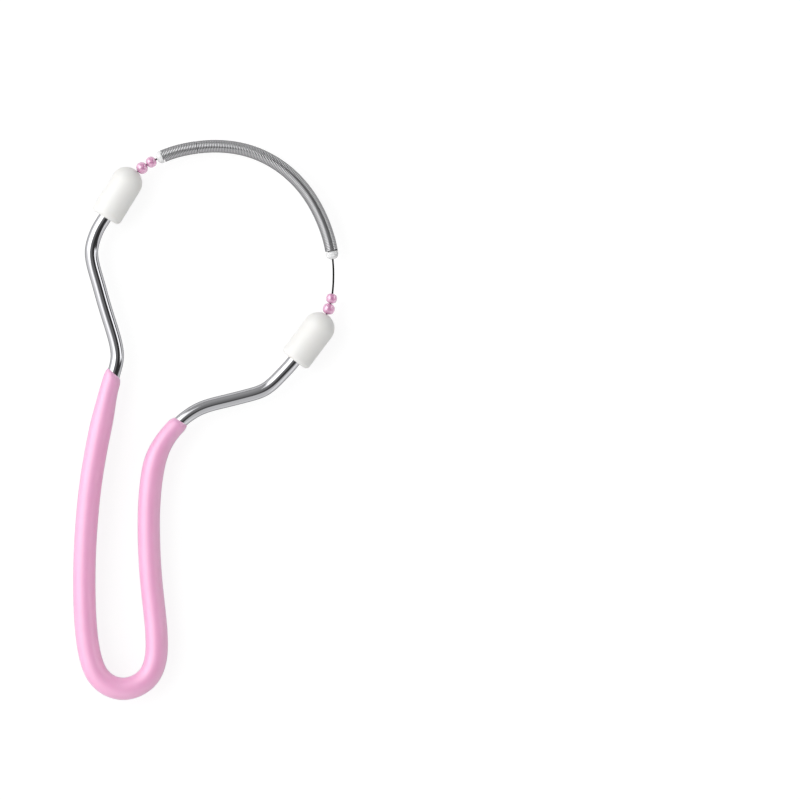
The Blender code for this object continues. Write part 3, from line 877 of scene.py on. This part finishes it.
# %% The sleeve's sizes
SLEEVE_RADIUS = 2.2 * MM
SHOULDER_RADIUS = 1.8 * MM
BORE_RADIUS = 1.33 * MM
LIP_WALL = 0.07 * MM
LIP_RADIUS = BORE_RADIUS + LIP_WALL
SHOULDER_LENGTH = 1.6 * MM
SHOULDER_POWER = 2.4
TAPER_LENGTH = 9.8 * MM
SLEEVE_START = ROD_IN_CAP + 31.9 * MM
SLEEVE_END = rod.length - ROD_IN_CAP - 25.9 * MM
LEFT_SLANT = math.tan(math.radians(26.0))
RIGHT_SLANT = -math.tan(math.radians(16.0))
SLANT_FADES = 7.0 * MM
LIP_SHARES = np.array([0.0, 0.004, 0.015, 0.04, 0.08, 0.14, 0.22, 0.32, 0.45, 0.6, 0.8, 1.0])
SLEEVE_ROWS = 260
SLEEVE_COLUMNS = 72
print(f"the sleeve covers {(SLEEVE_END - SLEEVE_START) / MM:.1f} mm of the rod")


# %% Make the sleeve
def sleeve_reach(depth):
    """A power curve from the lip up to the shoulder, then a smooth step up to the full sleeve."""
    rise = np.clip(depth / SHOULDER_LENGTH, 0.0, 1.0)
    shoulder = LIP_RADIUS + (SHOULDER_RADIUS - LIP_RADIUS) * (1 - (1 - rise) ** SHOULDER_POWER)
    share = np.clip((depth - SHOULDER_LENGTH) / TAPER_LENGTH, 0.0, 1.0)
    return shoulder + (SLEEVE_RADIUS - SHOULDER_RADIUS) * share**2 * (3 - 2 * share)


def slanted(distance):
    """Distance shifted by slant times reach times the cosine of the angle, fading with depth."""
    angle = np.linspace(0.0, math.tau, SLEEVE_COLUMNS, endpoint=False)
    from_left = np.clip(1 - (distance - SLEEVE_START) / SLANT_FADES, 0.0, 1.0)
    from_right = np.clip(1 - (SLEEVE_END - distance) / SLANT_FADES, 0.0, 1.0)
    shift = ROD_RADIUS * (LEFT_SLANT * from_left + RIGHT_SLANT * from_right)
    return distance[:, None] + shift[:, None] * np.cos(angle)


def make_sleeve():
    """The skin's rows from lip to lip, then the bore's rows back, as one ring."""
    lip = SHOULDER_LENGTH * LIP_SHARES
    run = np.linspace(SLEEVE_START + SHOULDER_LENGTH, SLEEVE_END - SHOULDER_LENGTH, SLEEVE_ROWS)
    distance = np.concatenate([SLEEVE_START + lip, run[1:-1], SLEEVE_END - lip[::-1]])
    depth = np.minimum(distance - SLEEVE_START, SLEEVE_END - distance)
    skin = sweep(rod, slanted(distance), sleeve_reach(depth), SLEEVE_COLUMNS)
    bore = sweep(rod, slanted(distance), np.full(len(distance), BORE_RADIUS), SLEEVE_COLUMNS)
    return mesh_piece("soft_sleeve", np.concatenate([skin, bore[::-1]]), ring=True)


dress(make_sleeve(), SLEEVE, "handle", "sleeve_pink", "grip_sleeve")

# %% [markdown]
# ## Caps
#
# Each end of the rod is pushed into a moulded cap: a short cylinder with a domed nose, a
# rounded rim at its mouth and a blind bore. It could be a cylinder with bevels, but one turned
# profile gives the dome, the rim and the bore at once. The wire leaves through a hole in the
# nose that isn't on the cap's axis, so that hole is drilled afterwards with a Boolean.

# %% The cap's profile
CAP_LENGTH = 11.1 * MM
CAP_RADIUS = 3.15 * MM
CAP_RIM = 0.95 * MM
CAP_BORE = 1.36 * MM
CAP_BORE_MIDDLE = 0.02 * MM
CAP_MOUTH_BEVEL = 0.12 * MM
CAP_DOME_TOP = 89.5
CAP_DOME_POINTS = 28
CAP_RIM_POINTS = 9
CAP_COLUMNS = 96


def cap_profile():
    """From the nose down: a quarter circle, the side, the rounded rim, the flat mouth and up
    the bore."""
    dome_centre = (0.0, CAP_LENGTH - CAP_RADIUS)
    dome = arc(dome_centre, CAP_RADIUS, CAP_DOME_TOP, 0.0, CAP_DOME_POINTS)
    rim = arc((CAP_RADIUS - CAP_RIM, CAP_RIM), CAP_RIM, 0.0, -90.0, CAP_RIM_POINTS)
    mouth = [(CAP_BORE + CAP_MOUTH_BEVEL, 0.0), (CAP_BORE, CAP_MOUTH_BEVEL)]
    bore = [(CAP_BORE, CAP_BORE_DEPTH), (CAP_BORE_MIDDLE, CAP_BORE_DEPTH)]
    return np.vstack([dome, rim, mouth, bore])


print(f"the cap's profile has {len(cap_profile())} points")

# %% Make the caps
# The drill starts behind the seat and aims at the bow's point that lies DRILL_AIM along it
WIRE_HOLE = 0.45 * MM
DRILL_SET_BACK = 1.0 * MM
DRILL_AIM = 3.0 * MM
DRILL_LENGTH = 5.0 * MM
DRILL_COLUMNS = 32
SHARP_ANGLE = math.radians(40)


def drill(piece, start, way):
    """Cuts a round hole along a line through the piece, and keeps the result as its mesh."""
    side = [(WIRE_HOLE, 0.0), (WIRE_HOLE, DRILL_LENGTH)]
    cutter = mesh_piece("drill", turned(side, start, way, DRILL_COLUMNS))
    cut = piece.modifiers.new("Wire hole", "BOOLEAN")
    cut.object = cutter
    cut.solver = "EXACT"
    graph = bpy.context.evaluated_depsgraph_get()
    piece.data = bpy.data.meshes.new_from_object(piece.evaluated_get(graph))
    piece.modifiers.clear()
    bpy.data.objects.remove(cutter)
    piece.data.shade_smooth()
    piece.data.set_sharp_from_angle(angle=SHARP_ANGLE)


def make_cap(name, mouth, lean, seat, leaves):
    """The turned profile, drilled from behind the seat towards the point that the wire leaves
    by."""
    way = (*cap_way(lean), 0.0)
    cap = mesh_piece(name, turned(cap_profile(), (*mouth, LIE_HEIGHT), way, CAP_COLUMNS))
    seat = np.array([*seat, LIE_HEIGHT])
    wire_way = (leaves - seat) / np.linalg.norm(leaves - seat)
    drill(cap, seat - wire_way * DRILL_SET_BACK, wire_way)
    return cap


left_leaves, right_leaves = bow.place(np.array([DRILL_AIM, bow.length - DRILL_AIM]))
left_cap = make_cap("moulded_cap_left", left_mouth, LEFT_CAP_LEAN, left_seat, left_leaves)
right_cap = make_cap("moulded_cap_right", right_mouth, RIGHT_CAP_LEAN, right_seat, right_leaves)
dress(left_cap, CAP, "handle", "cap_white", "left_cap")
dress(right_cap, CAP, "handle", "cap_white", "right_cap")

# %% [markdown]
# ## Core wire and crimps
#
# The thin dark wire is strung from cap to cap through everything else, and shows bare on the
# right. It follows the bow's line, and a short straight tail at each end runs on through a
# brass crimp inside the cap. A bevelled curve would do for it, but the rod's sweep makes it too
# and gives it the same kind of UV map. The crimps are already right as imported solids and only
# get their finish.

# %% Make the wire
WIRE_RADIUS = 0.175 * MM
WIRE_TAIL = 2.22 * MM
WIRE_ROWS = 280
WIRE_COLUMNS = 16


def make_wire():
    """A constant reach along the bow, from the end of one tail to the end of the other."""
    left_tail = left_seat - WIRE_TAIL * cap_way(LEFT_CAP_LEAN)
    right_tail = right_seat - WIRE_TAIL * cap_way(RIGHT_CAP_LEAN)
    strung = Line(np.vstack([left_tail, bow.flat, right_tail]))
    distance = np.linspace(0.0, strung.length, WIRE_ROWS)
    reach = np.full(WIRE_ROWS, WIRE_RADIUS)
    return mesh_piece("strung_wire", sweep(strung, distance, reach, WIRE_COLUMNS))


dress(make_wire(), WIRE, "handle", "wire_dark", "core_wire")
for name in ("left_crimp", "right_crimp"):
    crimp = frame["nodes"][name]
    crimp.data.materials.clear()
    crimp.data.materials.append(BRASS)
    print(f"{name}: the packed solid, in brass")

# %% [markdown]
# ## Beads
#
# Each cap has two glossy beads beside it, the one that touches the cap a little larger. A bead
# turns about the wire, so it is built on its own joint's axis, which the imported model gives,
# and pushed a little way along it towards the cap. A sphere with a hole cut through it would
# do, but a turned profile has its bore from the start: a round a little fuller than a circle,
# with two lips into the bore, which closes the ring.

# %% The bead's profile
BEAD_BORE = 0.245 * MM
BEAD_LIP = 0.03 * MM
BEAD_FULLNESS = 2.35
BEAD_QUARTER_POINTS = 22
BEAD_BORE_POINTS = 6
BEAD_BORE_SHARE = 0.97


def full_arc(reach, height, power, from_reach, count):
    """A quarter of (x / reach)^power + (y / height)^power = 1, from x = from_reach down to its
    widest."""
    angle = np.linspace(math.acos((from_reach / reach) ** (power / 2)), 0.0, count)
    x, y = reach * np.cos(angle) ** (2 / power), height * np.sin(angle) ** (2 / power)
    return np.column_stack([x, y])


def bead_profile(reach, height):
    """A full round from lip to lip, a little wider than it is long, then back up the bore."""
    upper = full_arc(reach, height, BEAD_FULLNESS, BEAD_BORE + BEAD_LIP, BEAD_QUARTER_POINTS)
    skin = np.vstack([upper, upper[-2::-1] * (1.0, -1.0)])
    low = skin[-1, 1] * BEAD_BORE_SHARE
    bore = np.linspace((BEAD_BORE, low), (BEAD_BORE, -low), BEAD_BORE_POINTS)
    return np.vstack([skin, bore])


# %% Make the beads
BEAD_SIZES = {"inner": (1.20 * MM, 1.08 * MM), "outer": (1.10 * MM, 1.00 * MM)}
BEAD_SHIFTS = {"inner": 0.06 * MM, "outer": 0.16 * MM}
BEAD_COLUMNS = 64

for side, way_to_cap in (("left", -1.0), ("right", 1.0)):
    for which, size in BEAD_SIZES.items():
        joint = joints[f"{side}_{which}_bead_spin"]
        to_cap = way_to_cap * np.array(joint["axis"])
        place = joint["pos_m"] + BEAD_SHIFTS[which] * to_cap
        grid = turned(bead_profile(*size), place, joint["axis"], BEAD_COLUMNS)
        bead = mesh_piece(f"clear_bead_{side}_{which}", grid, ring=True)
        dress(bead, BEAD, f"{side}_bead_{which}", "bead_pink", f"{side}_{which}_bead")

# %% [markdown]
# ## Spring plugs
#
# A milky bush sits in each end of the spring: a shank inside the curls and a round nose that
# stands out of the metal. It slides and rolls on the wire, so it is turned about its own
# joint's axis too. The left one's shoulder stands a little further out, as the photograph shows.

# %% The plug's profile
SPRING_RADIUS = 1.25 * MM
PLUG_NOSE_END = 1.50 * MM
PLUG_FULLNESS = 2.4
PLUG_NOSE_POINTS = 24
PLUG_EDGE = 0.06 * MM
PLUG_EDGE_POINTS = 5
PLUG_SHANK_RADIUS = 0.72 * MM
PLUG_SHANK_LENGTH = 1.6 * MM
PLUG_BORE = 0.46 * MM
PLUG_BORE_LIP = (0.04 * MM, 0.05 * MM)


def plug_profile(shoulder, collar):
    """From the bore's edge: the full round nose, the shoulder's edge, the shank and back up the
    bore."""
    lip_wide, lip_deep = PLUG_BORE_LIP
    height = PLUG_NOSE_END - collar
    nose = full_arc(SPRING_RADIUS, height, PLUG_FULLNESS, PLUG_BORE + lip_wide, PLUG_NOSE_POINTS)
    nose = nose + (0.0, collar)
    edge_centre = (SPRING_RADIUS - PLUG_EDGE, shoulder + PLUG_EDGE)
    edge = arc(edge_centre, PLUG_EDGE, 0.0, -90.0, PLUG_EDGE_POINTS)
    shank = [(PLUG_SHANK_RADIUS, shoulder), (PLUG_SHANK_RADIUS, -PLUG_SHANK_LENGTH)]
    bore = [(PLUG_BORE, -PLUG_SHANK_LENGTH), (PLUG_BORE, nose[0, 1] - lip_deep)]
    return np.vstack([nose, edge, shank, bore])


# %% Make the plugs
PLUG_SHOULDERS = {"left": 0.32 * MM, "right": 0.0}
PLUG_COLLARS = {"left": 0.40 * MM, "right": 0.25 * MM}
PLUG_COLUMNS = 64

for side, nose_way in (("left", -1.0), ("right", 1.0)):
    joint = joints[f"{side}_plug_spin"]
    profile = plug_profile(PLUG_SHOULDERS[side], PLUG_COLLARS[side])
    grid = turned(profile, joint["pos_m"], nose_way * np.array(joint["axis"]), PLUG_COLUMNS)
    plug = mesh_piece(f"milky_plug_{side}", grid, ring=True)
    dress(plug, PLUG, f"{side}_plug", "plug_pale", f"{side}_end_plug")

# %% [markdown]
# ## Coil spring
#
# The working part: fine spring wire wound close. A Screw modifier only winds about a straight
# axis, so the coil is worked out point by point. The wire's own middle line circles the bow's
# line at the coil's radius, and goes one pitch along for each turn. A small section is carried
# along that helix, with its first direction pointing out of the coil, which keeps it from
# twisting. On the bow, curls close up along the inside and stand a hair's breadth apart along
# the outside, where the section grows a little and takes up most of that room. At one place two
# curls stand further apart, where the photographed spring has a faint seam.

# %% The spring's sizes
COIL_RADIUS = SPRING_RADIUS - SPRING_WIRE / 2
STACK_GAP = 0.06 * MM
CURL_ROOM = 1.002
POINTS_PER_CURL = 24
SECTION_POINTS = 12
SECTION_POWER = 0.72
GAP_FILL = 0.8
SEAM_PLACE = (-1.8 * MM, 53.5 * MM)
SEAM_GAP = 0.07 * MM


def nearest_distance(point):
    """The distance along the bow at which it passes closest to a point."""
    return bow.distance[np.argmin(np.hypot(*(bow.flat - np.asarray(point)[:2]).T))]


room_at_end = STACK_GAP + SPRING_WIRE / 2
left_shoulder = nearest_distance(joints["left_plug_spin"]["pos_m"]) - PLUG_SHOULDERS["left"]
right_shoulder = nearest_distance(joints["right_plug_spin"]["pos_m"])
coil_start = left_shoulder + room_at_end
coil_end = right_shoulder - room_at_end - SEAM_GAP
outer_spread = COIL_RADIUS / bow_radius
curls = int((coil_end - coil_start) / (SPRING_WIRE / (1 - outer_spread) * CURL_ROOM))
pitch = (coil_end - coil_start) / curls
print(f"{curls} curls at a pitch of {pitch / MM:.3f} mm")


# %% Make the spring
def coil_distance(turn):
    """Even steps along the bow, one pitch a turn, with a smooth extra step at the seam."""
    distance = np.linspace(coil_start, coil_end, len(turn))
    opened = np.clip((distance - nearest_distance(SEAM_PLACE)) / pitch, 0.0, 1.0)
    return distance + SEAM_GAP * opened**2 * (3 - 2 * opened)


def wire_section(turn):
    """Sine and cosine of the angle round the wire, each to a power under 1, which squares the
    section a little. The first grows with 1 + cos of the turn, so most on the bow's outside."""
    angle = np.linspace(0.0, math.tau, SECTION_POINTS, endpoint=False) + math.pi
    wide, high = (np.sign(wave) * np.abs(wave) ** SECTION_POWER
                  for wave in (np.sin(angle), np.cos(angle)))
    room = 1 + GAP_FILL * outer_spread * (1 + np.cos(turn))
    return room[:, None] * wide, high


def make_spring():
    """Helix: line + coil radius times (cos of the turn times side, sin times up), then the
    section round it, in the plane of the way out and the way across."""
    turn = np.linspace(0.0, math.tau * curls, curls * POINTS_PER_CURL + 1)
    distance = coil_distance(turn)
    out = np.cos(turn)[:, None] * bow.side(distance) + np.sin(turn)[:, None] * UP
    helix = bow.place(distance) + COIL_RADIUS * out
    ahead = np.gradient(helix, axis=0)
    ahead /= np.linalg.norm(ahead, axis=1, keepdims=True)
    across = np.cross(ahead, out)
    wide, high = wire_section(turn)
    section = high[None, :, None] * out[:, None] + wide[..., None] * across[:, None]
    return mesh_piece("close_wound_spring", helix[:, None] + SPRING_WIRE / 2 * section)


dress(make_spring(), SPRING_STEEL, "spring", "spring_steel", "coil_spring")

# %% [markdown]
# ## Sizes, and the end
#
# The imported model's box and the dressed one's are printed side by side, because the new
# pieces mustn't change the tool's size.

# %% Sizes, and the end
sizes = {"cad": [list(corner) for corner in cad_box], "visual": [list(corner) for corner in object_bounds()]}
for name, box in sizes.items():
    spans = ", ".join(f"{(high - low) / MM:.2f}" for low, high in zip(*box))
    print(f"{name}: {spans} mm")
